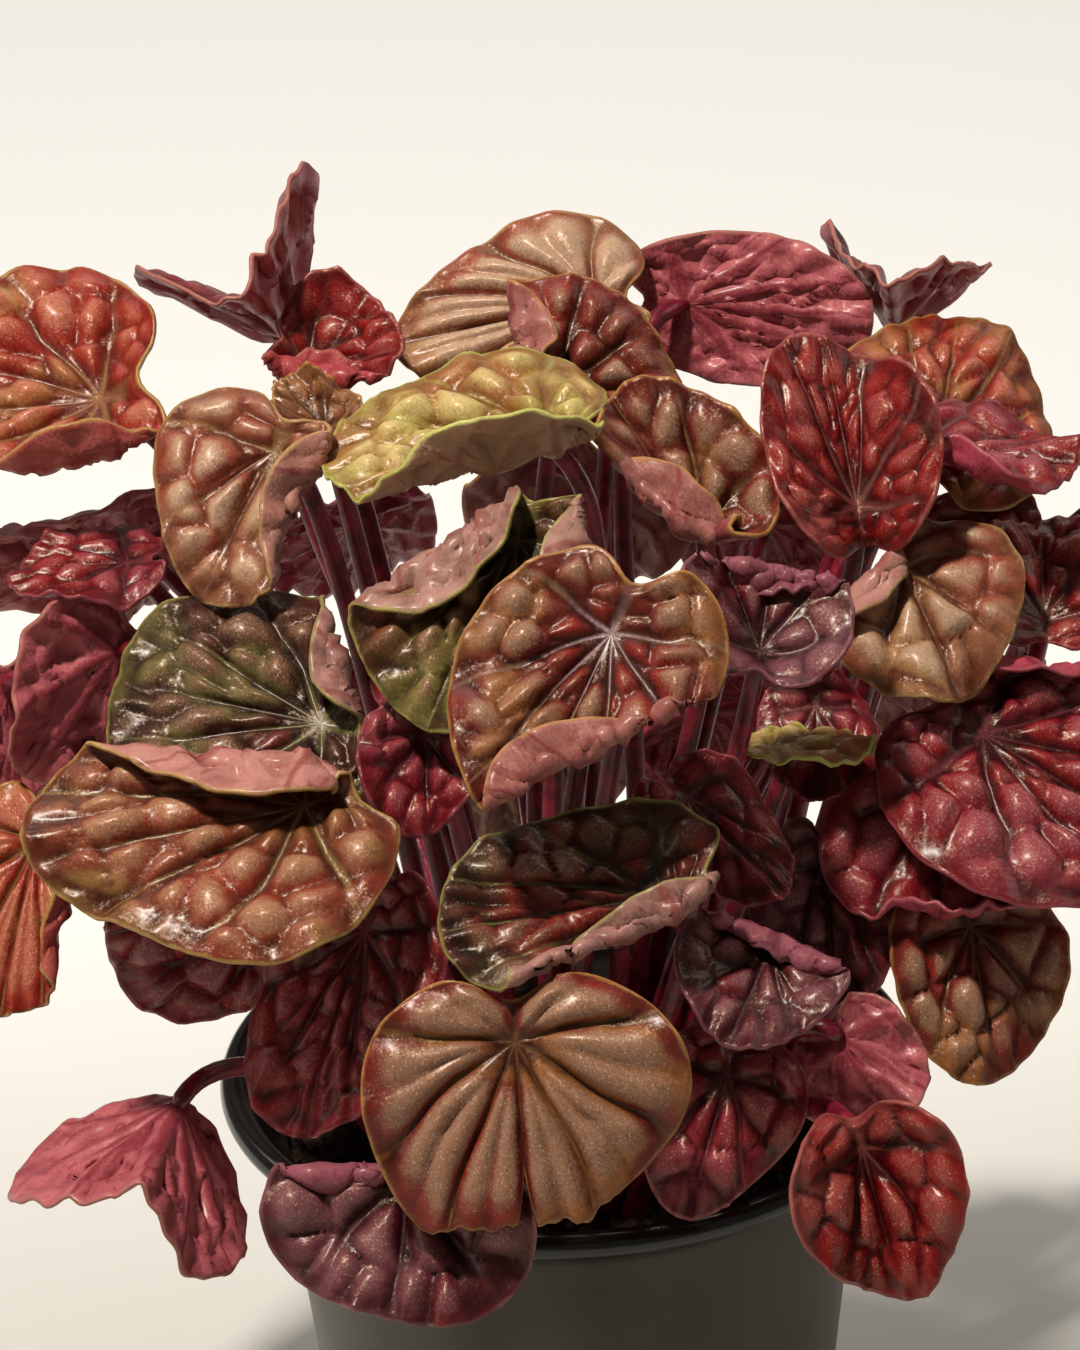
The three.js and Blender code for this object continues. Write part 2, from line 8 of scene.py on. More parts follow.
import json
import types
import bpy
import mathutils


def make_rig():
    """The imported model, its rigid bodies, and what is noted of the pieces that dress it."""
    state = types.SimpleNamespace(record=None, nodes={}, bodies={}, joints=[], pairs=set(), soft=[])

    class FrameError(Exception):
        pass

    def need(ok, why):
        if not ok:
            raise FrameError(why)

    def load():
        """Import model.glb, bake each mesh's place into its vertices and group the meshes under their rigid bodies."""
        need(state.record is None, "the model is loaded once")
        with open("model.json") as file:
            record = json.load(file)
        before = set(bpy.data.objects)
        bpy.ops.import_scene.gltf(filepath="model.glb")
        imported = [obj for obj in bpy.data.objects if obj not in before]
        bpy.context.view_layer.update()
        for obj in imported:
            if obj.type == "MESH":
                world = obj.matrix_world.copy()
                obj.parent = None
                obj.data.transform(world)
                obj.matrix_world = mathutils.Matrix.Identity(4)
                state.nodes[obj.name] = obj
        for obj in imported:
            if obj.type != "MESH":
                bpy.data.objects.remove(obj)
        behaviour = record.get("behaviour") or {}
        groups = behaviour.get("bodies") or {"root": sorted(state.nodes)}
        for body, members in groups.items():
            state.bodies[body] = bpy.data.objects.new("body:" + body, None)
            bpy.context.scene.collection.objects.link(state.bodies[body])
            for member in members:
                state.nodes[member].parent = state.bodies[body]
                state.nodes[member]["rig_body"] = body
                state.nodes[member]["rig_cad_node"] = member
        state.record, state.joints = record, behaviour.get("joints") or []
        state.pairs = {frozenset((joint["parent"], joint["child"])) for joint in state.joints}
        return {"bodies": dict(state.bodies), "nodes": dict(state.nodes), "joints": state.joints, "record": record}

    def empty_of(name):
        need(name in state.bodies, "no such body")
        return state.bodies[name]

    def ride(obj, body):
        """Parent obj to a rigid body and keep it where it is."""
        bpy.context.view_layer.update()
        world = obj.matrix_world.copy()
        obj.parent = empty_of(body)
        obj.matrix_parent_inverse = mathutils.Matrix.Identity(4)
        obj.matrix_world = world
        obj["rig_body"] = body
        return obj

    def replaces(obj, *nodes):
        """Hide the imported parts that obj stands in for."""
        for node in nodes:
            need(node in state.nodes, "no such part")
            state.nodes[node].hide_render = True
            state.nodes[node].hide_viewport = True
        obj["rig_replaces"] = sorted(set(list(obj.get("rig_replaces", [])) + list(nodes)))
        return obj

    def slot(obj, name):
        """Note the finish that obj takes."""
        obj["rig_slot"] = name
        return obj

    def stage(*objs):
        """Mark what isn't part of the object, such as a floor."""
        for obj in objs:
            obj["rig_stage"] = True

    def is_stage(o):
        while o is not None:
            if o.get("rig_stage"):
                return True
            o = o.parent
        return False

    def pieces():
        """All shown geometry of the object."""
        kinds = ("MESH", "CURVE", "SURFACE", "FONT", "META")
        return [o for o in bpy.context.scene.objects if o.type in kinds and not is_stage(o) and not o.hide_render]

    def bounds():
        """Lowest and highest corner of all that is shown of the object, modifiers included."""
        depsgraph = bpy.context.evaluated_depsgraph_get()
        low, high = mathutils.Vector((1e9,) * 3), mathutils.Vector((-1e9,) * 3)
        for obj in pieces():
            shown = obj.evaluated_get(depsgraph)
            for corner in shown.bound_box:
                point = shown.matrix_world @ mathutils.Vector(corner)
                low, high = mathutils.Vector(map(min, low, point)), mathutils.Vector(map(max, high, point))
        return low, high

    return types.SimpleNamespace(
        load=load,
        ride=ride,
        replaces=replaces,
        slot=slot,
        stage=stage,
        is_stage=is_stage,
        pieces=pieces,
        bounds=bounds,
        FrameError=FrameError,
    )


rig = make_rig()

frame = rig.load()

import json
import math

import bpy
import numpy as np
from mathutils import Matrix, Vector

MM = 0.001


def note_box(key, box):
    path = "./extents.json"
    try:
        kept = json.load(open(path)) if key != "cad" else {}
    except OSError:
        kept = {}
    kept[key] = [[float(value) for value in corner] for corner in box]
    json.dump(kept, open(path, "w"))


note_box("cad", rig.bounds())

# The leaves' shared sizes, as in the solids
BLADE = 1.1  # thickness
HEEL = 0.27  # share of the blade's length that lies behind the stalk's joint
SINUS = 0.12  # depth of the notch at the base, as a share of the length
SINUS_WIDTH = 0.22  # radians
WIDEST = 0.14  # how far the widest place is drawn towards the base
ARCH = 0.22  # how much the side veins curve towards the tip
PUCKER = 0.072  # height of the quilting, as a share of the blade's width
TALLEST = 2.9  # the quilting stands no higher than this
QUILT_START = 0.35  # share of the way out from which the quilting is at its full height
QUILT_END = 0.72  # and from which it sinks again
QUILT_EDGE = 0.25  # to this share of its height at the margin
WAVE = 1.8  # height of the ruffles, where a row gives none
CREASE = 1.4  # radius of a folded blade's midrib
LOBING = 0.045  # how far the outline strays from a plain oval, as a share
VEINS = np.radians([0, 40, 84, 132, 180])
FEW_VEINS = np.radians([0, 55, 115, 180])
SMALL = 39  # a leaf shorter than this has the few veins
STALK_RADIUS = 1.5
STALK_FOOT_RADIUS = 1.9
STALK_DEPTH = 5  # how deep a stalk stands in the soil
STALK_SLANT = math.radians(50)  # between the stalk's end and the blade
RISE = 70  # the point below the pot's middle that the stalks seem to spread from
LOW_HANDLE = 0.45  # share of a stalk's reach over which it keeps its first direction
NECK = 0.22  # share over which it bends to meet the blade
TUFT_SHARE = 0.3  # a stalk's foot stands this share of the way out to its leaf
TUFT_RADIUS = 33

# The pot and the soil, as in the solids
POT_HEIGHT = 105
LIP_RADIUS = 60
LIP_WIDTH = 5
LIP_DROP = 10
WALL_TOP_RADIUS = 50.9
FOOT_RADIUS = 40.5
WALL = 1.4
SOIL_TOP = 92

# How fine the meshes are
SPOKES_PER_SECTOR = 16
RINGS = 28
FIRST_RING = 0.05  # share of the way out
STALK_STEPS = 26
STALK_SIDES = 12
POT_SIDES = 160
SOIL_RINGS = 44
SOIL_SIDES = 120

# The leaves' fine relief
CELL = 7.8  # mm across one bubble of the quilting
PAIRED_FROM = 0.45  # share of the way out from which two bubbles stand side by side
BUBBLES = 0.85  # share of the quilting's height that its bubbles give, the rest being ridges
FEW_BUBBLES = 0.1  # that share on a ridged leaf
SEAM_HEIGHT = 0.1  # height of the seams, as a share of the quilting's
BUBBLE_HEIGHT = 1.25  # and of the bubbles above them
SEAM_TROUGH = 0.3  # width of the dip along a seam, in bubbles
VEIN_TROUGH = 1.8  # width of the dip along a vein, in mm
VEIN_DRIFT = 0.34  # how far the side veins wander, in radians
FRILL = 0.4  # height of the finest ruffles, in mm
THIN_FROM = 0.85  # share of the way out from which the blade thins
THINNING = 0.45  # share of its thickness that it loses there
STALK_END = 0.55  # width of the stalk's last ring, as a share

# Leaves with a look of their own
RIDGED = (9, 25, 41)  # long smooth ridges in place of bubbles
# Ridged leaves' skin takes their ridges as higher, so more of them gets the pale crest colour with its painted sheen
RIDGE_SHINE = 1.4  # how much higher their skin takes the ridges to be
STARRED = (20,)  # pale veins round the joint
SPLIT_LEAF = 25  # a ragged, split tip
SPLIT_DEPTH = 0.3  # share of its length
SPLIT_WIDTH = 0.035  # radians
RAGGED_WITHIN = 0.75  # radians to either side of the tip

# The bits on the soil: crumbs, which are octahedra before they are sized, and fibres
SOIL_BITS = 1500
FIBRE_EVERY = 5  # one bit in five is a fibre
SOIL_SEED = 11
CRUMB = np.array([(1, 0, 0), (-1, 0, 0), (0, 1, 0), (0, -1, 0), (0, 0, 1), (0, 0, -1)], float)
CRUMB_FACES = [(0, 2, 4), (2, 1, 4), (1, 3, 4), (3, 0, 4), (2, 0, 5), (1, 2, 5), (3, 1, 5), (0, 3, 5)]

# One row per leaf, as in the solids
LEAVES = [
    dict(at=[-84, 13, 225], face=[-15, 62], tip=-106, size=[54, 48], tone="orange",
         cup=4, root=[6, 6], rolls=[[-94, 16, 100, 6]]),
    dict(at=[-83, 21, 193], face=[-164, 40], tip=108, size=[40, 52], tone="rose",
         root=[5, -4], bow=[0, 6, 0]),
    dict(at=[-44, 30, 232], face=[-141, 42], tip=41, size=[52, 38], tone="rose",
         fold=50, wave=2.5),
    dict(at=[-34, 22, 227], face=[-10, 62], tip=96, size=[26, 24], tone="red",
         cup=6, wave=2, root=[4, 0], rolls=[[90, 8, 100, 3]]),
    dict(at=[-38, 6, 225], face=[26, 62], tip=-20, size=[16, 16], tone="bronze",
         cup=2, root=[1, 0], bow=[-3, 5, 0]),
    dict(at=[-48, -10, 218], face=[-8, 41], tip=-157, size=[36, 36], tone="tan",
         root=[-1, 0], neck=0.1, bow=[3, -4, 0], rolls=[[-95, 12, 160, 2.5]]),
    dict(at=[-12, -12, 226], face=[-22, 74], tip=-116, size=[44, 50], tone="green",
         rolls=[[-97, 20, 80, 7]]),
    dict(at=[-10, -39, 212], face=[-13, 46], tip=-162, size=[48, 46], tone="olive",
         rolls=[[122, 16, 165, 2.6], [-112, 13, 160, 2.6]]),
    dict(at=[-2, 35, 229], face=[-9, 47], tip=-104, size=[34, 46], tone="tan",
         neck=0.1, rolls=[[-95, 11, 130, 3]]),
    dict(at=[4, 19, 229], face=[8, 43], tip=17, size=[40, 26], tone="bronze",
         root=[-4, -2], rolls=[[-90, 14, 150, 3]]),
    dict(at=[35, 40, 227], face=[174, -14], tip=-94, size=[27, 44], tone="rose"),
    dict(at=[20, -9, 216], face=[13, 49], tip=-25, size=[30, 36], tone="bronze",
         cup=6, rolls=[[-110, 13, 130, 3.4]]),
    dict(at=[49, -3, 219], face=[0, 44], tip=-8, size=[34, 42], tone="red",
         fold=36, wave=3, root=[-4, 3]),
    dict(at=[67, 18, 218], face=[20, 52], tip=29, size=[38, 40], tone="orange",
         cup=-3, root=[1, 6]),
    dict(at=[71, -2, 217], face=[0, 84], tip=108, size=[28, 36], tone="wine",
         wave=3, root=[2, -1], rolls=[[90, 9, 75, 4]]),
    dict(at=[60, 43, 224], face=[157, 50], tip=-12, size=[38, 28], tone="rose",
         fold=41, root=[0, 2]),
    dict(at=[34, -35, 206], face=[9, 50], tip=17, size=[27, 32], tone="plum",
         cup=5, root=[1, -1], rolls=[[0, 10, 130, 3]]),
    dict(at=[60, -20, 198], face=[8, 47], tip=166, size=[34, 34], tone="tan",
         wave=3, root=[4, -3], neck=0.12, bow=[5, 3, 0], rolls=[[149, 10, 160, 2.4]]),
    dict(at=[43, -17, 174], face=[0, 50], tip=180, size=[20, 24], tone="wine",
         root=[3, 4], neck=0.1),
    dict(at=[4, -62, 205], face=[-4, 47], tip=-157, size=[42, 51], tone="bronze",
         cup=2, root=[-2, 2], rolls=[[-48, 14, 165, 2.6]]),
    # Painted shade: this leaf lies in shade and takes the darker umber tone
    dict(at=[-49, -33, 191], face=[-10, 53], tip=-80, size=[44, 52], tone="umber",
         neck=0.08, rolls=[[148, 12, 165, 2.8]]),
    dict(at=[-53, -65, 187], face=[-10, 56], tip=-107, size=[50, 58], tone="rust",
         rolls=[[105, 17, 165, 2.8], [150, 12, 140, 2.8]]),
    dict(at=[-21, -48, 187], face=[0, 44], tip=180, size=[26, 22], tone="wine",
         fold=30),
    # Painted shade: this leaf lies in shade and takes the darker umber tone
    dict(at=[4, -70, 172], face=[0, 60], tip=-102, size=[36, 48], tone="umber",
         cup=3, root=[4, -5], rolls=[[-106, 11, 150, 2.6]]),
    dict(at=[-8, -90, 148], face=[0, 23], tip=178, size=[50, 46], tone="bronze",
         blunt=0.62),
    dict(at=[-35, -71, 159], face=[-26, 36], tip=-175, size=[32, 46], tone="wine"),
    dict(at=[-59, -51, 162], face=[0, 2], tip=-90, size=[34, 32], tone="rose",
         root=[-7, -3], rolls=[[90, 15, 150, 4]]),
    dict(at=[-65, -72, 135], face=[-87, -67], tip=77, size=[54, 40], tone="rose",
         fold=42),
    dict(at=[-27, -88, 127], face=[-7, 32], tip=-177, size=[42, 34], tone="plum",
         cup=3, rolls=[[180, 8, 140, 2.5]]),
    dict(at=[25, -50, 175], face=[18, 49], tip=152, size=[20, 30], tone="wine",
         wave=2.5, root=[-1.5, 1]),
    dict(at=[30, -68, 157], face=[9, 50], tip=-149, size=[26, 27], tone="plum",
         cup=4, wave=1.2, rolls=[[180, 6, 120, 2.5]]),
    dict(at=[23, -71, 134], face=[0, 32], tip=-162, size=[26, 32], tone="wine",
         cup=-2, root=[2, -8]),
    dict(at=[47, -90, 130], face=[6, 20], tip=169, size=[34, 34], tone="red",
         fold=40, wave=3, root=[6, -3]),
    dict(at=[47, -57, 134], face=[161, -25], tip=-142, size=[22, 24], tone="rose",
         root=[3, -2]),
    dict(at=[67, -45, 144], face=[20, 31], tip=-177, size=[32, 34], tone="bronze",
         wave=1, root=[5, -4]),
    dict(at=[80, -35, 174], face=[15, 56], tip=138, size=[52, 58], tone="wine",
         root=[5, 1], rolls=[[-122, 11, 150, 2.8]]),
    dict(at=[61, -40, 164], face=[0, 38], tip=180, size=[36, 34], tone="wine",
         root=[3, -3], rolls=[[0, 9, 110, 3]]),
    dict(at=[-90, -12, 179], face=[-168, -14], tip=180, size=[20, 28], tone="rose",
         root=[-3, 1]),
    dict(at=[-76, -17, 188], face=[-150, -5], tip=134, size=[32, 32], tone="rose",
         root=[-1, -2]),
    dict(at=[-75, -8, 206], face=[0, 80], tip=-93, size=[22, 26], tone="wine",
         root=[1, 1]),
    dict(at=[-88, -34, 158], face=[-22, 36], tip=-179, size=[30, 42], tone="orange",
         root=[0, -5], rolls=[[-90, 9, 120, 3]]),
    dict(at=[81, -7, 195], face=[10, 56], tip=12, size=[28, 28], tone="red",
         fold=20, root=[4, -3]),
    dict(at=[72, 8, 197], face=[7, 32], tip=172, size=[22, 20], tone="rose",
         wave=1, root=[5, -1]),
    dict(at=[101, 8, 204], face=[10, 56], tip=99, size=[28, 28], tone="rose",
         root=[2, 5]),
    dict(at=[43, -40, 154], face=[7, 38], tip=-177, size=[24, 34], tone="plum",
         root=[4, -3]),
    dict(at=[-20, -6, 183], face=[0, 44], tip=161, size=[20, 22], tone="wine",
         root=[0, -5], neck=0.08),
    dict(at=[40, -30, 179], face=[180, 76], tip=-86, size=[20, 24], tone="green",
         root=[6, 2]),
    dict(at=[-66, 52, 177], face=[-130, 45], tip=170, size=[36, 38], tone="bronze"),
    dict(at=[-36, 70, 172], face=[-160, 40], tip=190, size=[36, 42], tone="wine"),
    dict(at=[6, 58, 180], face=[178, 28], tip=163, size=[40, 50], tone="bronze"),
    dict(at=[39, 63, 170], face=[162, 28], tip=172, size=[36, 46], tone="wine"),
    dict(at=[68, 48, 182], face=[128, 45], tip=190, size=[36, 42], tone="orange",
         root=[7, 4]),
    dict(at=[-84, 36, 150], face=[-112, 28], tip=180, size=[34, 38], tone="wine"),
    dict(at=[-45, 78, 131], face=[-148, 20], tip=175, size=[34, 38], tone="red"),
    dict(at=[-6, 80, 121], face=[-178, 15], tip=185, size=[40, 44], tone="olive"),
    dict(at=[28, 80, 123], face=[165, 12], tip=176, size=[38, 42], tone="wine"),
    dict(at=[64, 66, 140], face=[135, 25], tip=182, size=[34, 38], tone="bronze"),
    dict(at=[88, 30, 150], face=[108, 22], tip=178, size=[34, 38], tone="wine"),
]

# tone: (valleys, slopes and crests of the quilting, margin, underside, its veins), sRGB; the valleys are darkened with
# painted shade and the crests paled with painted sheen, over each tone's own colours
TONES = {
    "olive": ("1e0f06", "4e3216", "7e5e42", "98904c", "a4786c", "84443e"),
    # umber is olive made darker and a little redder; the darkness is painted shade, for leaves that lie in shade
    "umber": ("120604", "3c1e14", "6c4a36", "8c8448", "9c6e64", "7c3a36"),
    "bronze": ("300807", "68221a", "8a644c", "a8793f", "9a6058", "7c2a34"),
    "tan": ("4c2012", "88543a", "ac8a6e", "a88550", "aa766c", "843a40"),
    "green": ("6a4212", "94723a", "bca668", "b8bc62", "b49074", "8f5e4a"),
    "wine": ("2a0309", "720f1c", "8c3c42", "8e424c", "a03c4c", "5e0e1a"),
    "plum": ("1c0408", "4e161e", "744648", "7c4850", "8c4a56", "541622"),
    "red": ("2c0206", "760b10", "8e3a34", "965048", "9e3a40", "661019"),
    "orange": ("52100a", "8a2416", "a65a42", "a6874a", "a24e48", "7a262a"),
    "rust": ("3a1409", "74341f", "9a6a4c", "a6874a", "ac7268", "7a2e2c"),
    "rose": ("3a0a12", "6e1c28", "885052", "a0665a", "ae585e", "761c2a"),
}
FLUSH = "8a1c18"  # red patches on the slopes
STAR = "866c70"  # pale veins round the joint
GLINT = "e6cdb4"  # specks of light on the crests
GLOSS_TINT = "e8c0a0"
STALK_COLOURS = ("580918", "921b33")
POT_WALL_COLOURS = ("3c372c", "464034")
# Painted dark reflection on the pot's glossy lip; the pot is one plastic
POT_LIP_DARK_REFLECTION = "14130f"
SOIL_COLOURS = ("140e0a", "4a3222")
# Painted shade on the paper near the pot, and the plain paper further back
PAPER_SHADE_AND_PLAIN = ("c8c4bb", "f3f1ec")  # near the pot and further back

# The camera, fitted to the photo
EYE = (-2.3, -866.0, 605.0)
PITCH = math.radians(26.2)  # downwards
TILT = math.radians(2.2)  # about its line of sight
FOCAL_PIXELS = 5780
PHOTO_HEIGHT = 1350
SENSOR = 36

# Lamps: name, place and size in metres, power, colour, and the point each is aimed at
LAMPS = [
    ("key", (-0.38, -0.30, 1.35), (0.1, 0.1), 20, (1.0, 0.96, 0.9), (0, 0, 0.15)),
    ("left", (-1.1, -0.5, 0.55), (0.4, 0.7), 1.6, (1.0, 0.98, 0.95), (0, 0, 0.15)),
    ("right", (0.95, 0.1, 0.75), (0.5, 0.5), 1.6, (1.0, 0.98, 0.95), (0.3, 0.12, 0)),
    ("backdrop", (0, 1.0, 1.3), (2.4, 0.5), 10.5, (1.0, 0.97, 0.92), (0, 1.05, 0)),
]
WORLD_COLOUR = (1.0, 0.98, 0.94, 1)
WORLD_STRENGTH = 0.13
FLOOR_REACH = 9000


def linear(code):
    """An sRGB hex colour as linear RGBA"""
    values = [int(code[i : i + 2], 16) / 255 for i in (0, 2, 4)]
    return (*[v / 12.92 if v <= 0.04045 else ((v + 0.055) / 1.055) ** 2.4 for v in values], 1.0)


def chance(n, k):
    """A repeatable draw from 0 to 1 for leaf number n; each use has its own k"""
    x = math.sin(n * 12.9898 + k * 78.233) * 43758.5453
    return x - math.floor(x)


def phase(leaf, k):
    """A repeatable draw of an angle, all the way round"""
    return 6.3 * chance(leaf["n"], k)


def smooth(start, end, x):
    """0 up to start, 1 from end, and a smooth step between"""
    t = np.clip((x - start) / (end - start), 0, 1)
    return t * t * (3 - 2 * t)


def unit(v):
    return v / np.linalg.norm(v)


def margin(leaf, angle):
    """The flat blade's margin, in mm, with the joint at the origin and the tip along +Y"""
    width, length = leaf["size"]
    sinus = np.exp(-(((math.pi - np.abs(angle)) / SINUS_WIDTH) ** 2))
    across = 0.5 * width * np.sin(angle) * (1 - WIDEST * np.cos(angle))
    along = length * (0.5 - HEEL + 0.5 * np.cos(angle) + SINUS * sinus)
    stray = np.sin(2 * angle + phase(leaf, 11))
    stray += np.sin(3 * angle + phase(leaf, 12))
    grown = 1 + LOBING * stray
    along = np.minimum(grown * along, leaf.get("blunt", 1) * length)
    if leaf["n"] == SPLIT_LEAF:  # coarse and fine teeth, and the split between them
        ragged = 0.014 * np.sin(17 * angle) + 0.01 * np.sin(41 * angle + 1)
        split = SPLIT_DEPTH * np.exp(-((angle / SPLIT_WIDTH) ** 2))
        along = along * (1 - (split + ragged) * (np.abs(angle) < RAGGED_WITHIN))
    return grown * across, along


def reach_of(leaf, side):
    """How far the flat blade reaches from its joint on one side"""
    mx, my = margin(leaf, np.radians(np.arange(-180, 180, 5)))
    turn = math.radians(side)
    return (mx * math.sin(turn) + my * math.cos(turn)).max()


def roll(p, side, start, degrees, radius):
    """Bends space beyond a line across the blade, by an angle, round an arc"""
    turn = math.radians(side)
    ox, oy = math.sin(turn), math.cos(turn)
    out = p[:, 0] * ox + p[:, 1] * oy - start
    sign = math.copysign(1, degrees)
    angle = np.minimum(np.maximum(out, 0) / radius, math.radians(abs(degrees)))
    rest = np.maximum(out, 0) - angle * radius
    shade_and_sheen_height = radius - sign * p[:, 2]
    moved = np.where(out > 0, shade_and_sheen_height * np.sin(angle) + rest * np.cos(angle), out)
    height = sign * (radius - shade_and_sheen_height * np.cos(angle) + rest * np.sin(angle))
    p[:, 2] = np.where(out > 0, height, p[:, 2])
    p[:, 0] += (moved - out) * ox
    p[:, 1] += (moved - out) * oy


def leaf_frame(leaf):
    """Side, tip and face directions, and the joint's place"""
    compass, height = np.radians(leaf["face"])
    level = math.cos(height)
    face = np.array([math.sin(compass) * level, -math.cos(compass) * level, math.sin(height)])
    up = unit(np.array([0, 0, 1.0]) - face * face[2])
    right = np.cross(up, face)
    turn = math.radians(leaf["tip"])
    tip = up * math.cos(turn) + right * math.sin(turn)
    side = np.cross(tip, face)
    joint = np.array(leaf["at"], float) - tip * (0.5 - HEEL) * leaf["size"][1]
    return side, tip, face, joint


def spokes_of(leaf):
    """Spoke angles, each spoke's place between its two veins, its sector's number, the veins"""
    half = FEW_VEINS if leaf["size"][1] < SMALL else VEINS
    veins = np.concatenate([-half[:0:-1], half])
    spokes, shares, sectors = [], [], []
    for k in range(len(veins) - 1):
        for j in range(SPOKES_PER_SECTOR):
            share = j / SPOKES_PER_SECTOR
            spokes.append(veins[k] + share * (veins[k + 1] - veins[k]))
            shares.append(share)
            sectors.append(k)
    return np.array(spokes), np.array(shares), np.array(sectors), veins


def bubbles_of(leaf, veins):
    """Each bubble's middle on the flat blade, in mm, and its own height"""
    bubbles = []
    rows = max(2, round(0.5 * leaf["size"][1] / CELL))
    for k in range(len(veins) - 1):
        for j in range(rows):
            share = (j + 0.75) / rows
            for t in (0.5,) if share < PAIRED_FROM else (0.26, 0.74):
                n = leaf["n"] + 7.7 * k + 1.3 * j + 3.1 * t
                at = veins[k] + (t + 0.42 * (chance(n, 5) - 0.5)) * (veins[k + 1] - veins[k])
                here = share * (1 + 0.6 * (chance(n, 6) - 0.5) / (j + 1))
                angle = at * (1 - ARCH * here * math.cos(at / 2) ** 2)
                mx, my = margin(leaf, np.array(angle))
                bubbles.append((here * mx, here * my, 0.55 + 0.9 * chance(n, 7)))
    return np.array(bubbles)


def quilting(leaf, flat, veins):
    """How far each point is inside its bubble, from 0 on a seam to 1, and the bubbles' height"""
    bubbles = bubbles_of(leaf, veins)
    apart = np.linalg.norm(flat[:, None, :] - bubbles[None, :, :2], axis=2)
    order = np.argsort(apart, axis=1)[:, :2]
    first, second = np.take_along_axis(apart, order, axis=1).T
    weight = np.exp(-((apart / (0.5 * CELL)) ** 2))
    tall = (weight * bubbles[:, 2]).sum(axis=1) / (weight.sum(axis=1) + 1e-9)
    return np.clip((second - first) / CELL, 0, 1), tall


def relief(leaf, share, between, vein, seam, tall):
    """The quilting's height from 0 to about 1, and the share of it that each ring keeps"""
    ridge = np.sin(np.pi * between) ** 0.75
    twin = np.abs(np.sin(2 * np.pi * between)) * smooth(0.15, 0.5, share)
    ridge = 0.6 * ridge + 0.5 * twin
    pad = 1 - np.exp(-vein / VEIN_TROUGH) * (1 - 0.6 * smooth(0.45, 0.85, share))
    pillow = (1 - np.exp(-seam / SEAM_TROUGH)) * tall
    bubble = FEW_BUBBLES if leaf["n"] in RIDGED else BUBBLES
    high = (1 - bubble) * ridge + bubble * pad * (SEAM_HEIGHT + BUBBLE_HEIGHT * pillow)
    fall = 1 - (1 - QUILT_EDGE) * smooth(QUILT_END, 1, share)
    return high, smooth(0, QUILT_START, share) * fall


def ruffles(leaf, spoke, share):
    """How far the cup, the ruffles and the frill lift each point, in mm"""
    ruffle = 0.6 * np.sin(3 * spoke + phase(leaf, 1))
    ruffle += 0.5 * np.sin(5 * spoke + phase(leaf, 2))
    frill = np.sin(11 * spoke + phase(leaf, 3)) + np.sin(19 * spoke + phase(leaf, 8))
    frill = FRILL * frill * share**6
    return leaf["wave"] * share**3 * ruffle + leaf["cup"] * share**2 + frill


def underside(grid, shares):
    """The blade's lower face, from the rings of its upper one"""
    round_ = np.roll(grid, -1, axis=1) - np.roll(grid, 1, axis=1)
    outward = np.gradient(grid, axis=0)
    normal = np.cross(round_, outward)
    normal[0] = normal[1].mean(axis=0)
    normal /= np.linalg.norm(normal, axis=2, keepdims=True)
    if normal[1].mean(axis=0)[2] < 0:
        normal = -normal
    thick = BLADE * (1 - THINNING * smooth(THIN_FROM, 1, shares))
    return grid - normal * thick[:, None, None]


def shell_faces(rings, count):
    """Quads of an upper and a lower grid of rings, joined along the outer ring"""
    at = np.arange(rings * count).reshape(rings, count)
    a, b = at[:-1], at[1:]
    c, d = np.roll(b, -1, axis=1), np.roll(a, -1, axis=1)
    top = np.stack([a, d, c, b], axis=-1).reshape(-1, 4)
    low = top[:, ::-1] + at.size
    edge, after = at[-1], np.roll(at[-1], -1)
    rim = np.stack([edge, after, after + at.size, edge + at.size], axis=-1)
    return np.concatenate([top, low, rim])


def blade_mesh(leaf):
    """Points, faces and skin attributes of one blade"""
    spokes, places, sectors, veins = spokes_of(leaf)
    count = len(spokes)
    shares = np.concatenate([[0.0], np.linspace(FIRST_RING, 1, RINGS)])
    share = np.repeat(shares, count)
    spoke = np.tile(spokes, RINGS + 1)
    between = np.tile(places, RINGS + 1)
    sector = np.tile(sectors, RINGS + 1)

    angle = spoke * (1 - ARCH * share * np.cos(spoke / 2) ** 2)
    drift = np.sin(2.3 * spoke + 5 * share + phase(leaf, 4))
    angle = angle + VEIN_DRIFT * share * (1 - share) * drift * np.abs(np.sin(spoke))
    mx, my = margin(leaf, angle)
    reach = np.hypot(mx, my)
    flat = np.stack([share * mx, share * my], axis=1)
    gap = np.min(np.abs(spoke[:, None] - veins[None, :]), axis=1)
    vein = gap * share * reach
    seam, tall = quilting(leaf, flat, veins)
    high, body = relief(leaf, share, between, vein, seam, tall)
    # Each sector between two veins is quilted to its own height
    vary = np.array([0.8 + 0.45 * chance(leaf["n"] + 0.37 * k, 9) for k in range(len(veins))])

    p = np.zeros((len(share), 3))
    p[:, :2] = flat
    p[:, 2] = leaf["pucker"] * high * body * vary[sector]
    p[:, 2] += ruffles(leaf, spoke, share)
    if leaf["fold"]:
        half = math.radians(leaf["fold"])
        p[:, 2] += (np.hypot(p[:, 0], CREASE) - CREASE) * math.sin(half)
        p[:, 0] *= math.cos(half)
    for bend in leaf["rolls"]:
        roll(p, *bend)

    grid = p.reshape(RINGS + 1, count, 3)
    under = underside(grid, shares)
    side, tip, face, joint = leaf_frame(leaf)
    basis = np.stack([side, tip, face])
    points = np.concatenate([grid.reshape(-1, 3), under.reshape(-1, 3)]) @ basis + joint
    skin = {
        # The quilting's height, which the skin turns into painted shade low down and painted sheen up high
        "crest": np.tile(high * body * (RIDGE_SHINE if leaf["n"] in RIDGED else 1), 2),
        "share": np.tile(share, 2),
        "vein": np.tile(vein, 2),
        "seam": np.tile(seam * CELL, 2),
        "rim": np.tile((1 - share) * reach, 2),
        "under": np.repeat([0.0, 1.0], len(share)),
        "star": np.full(2 * len(share), float(leaf["n"] in STARRED)),
    }
    return points, shell_faces(RINGS + 1, count), skin


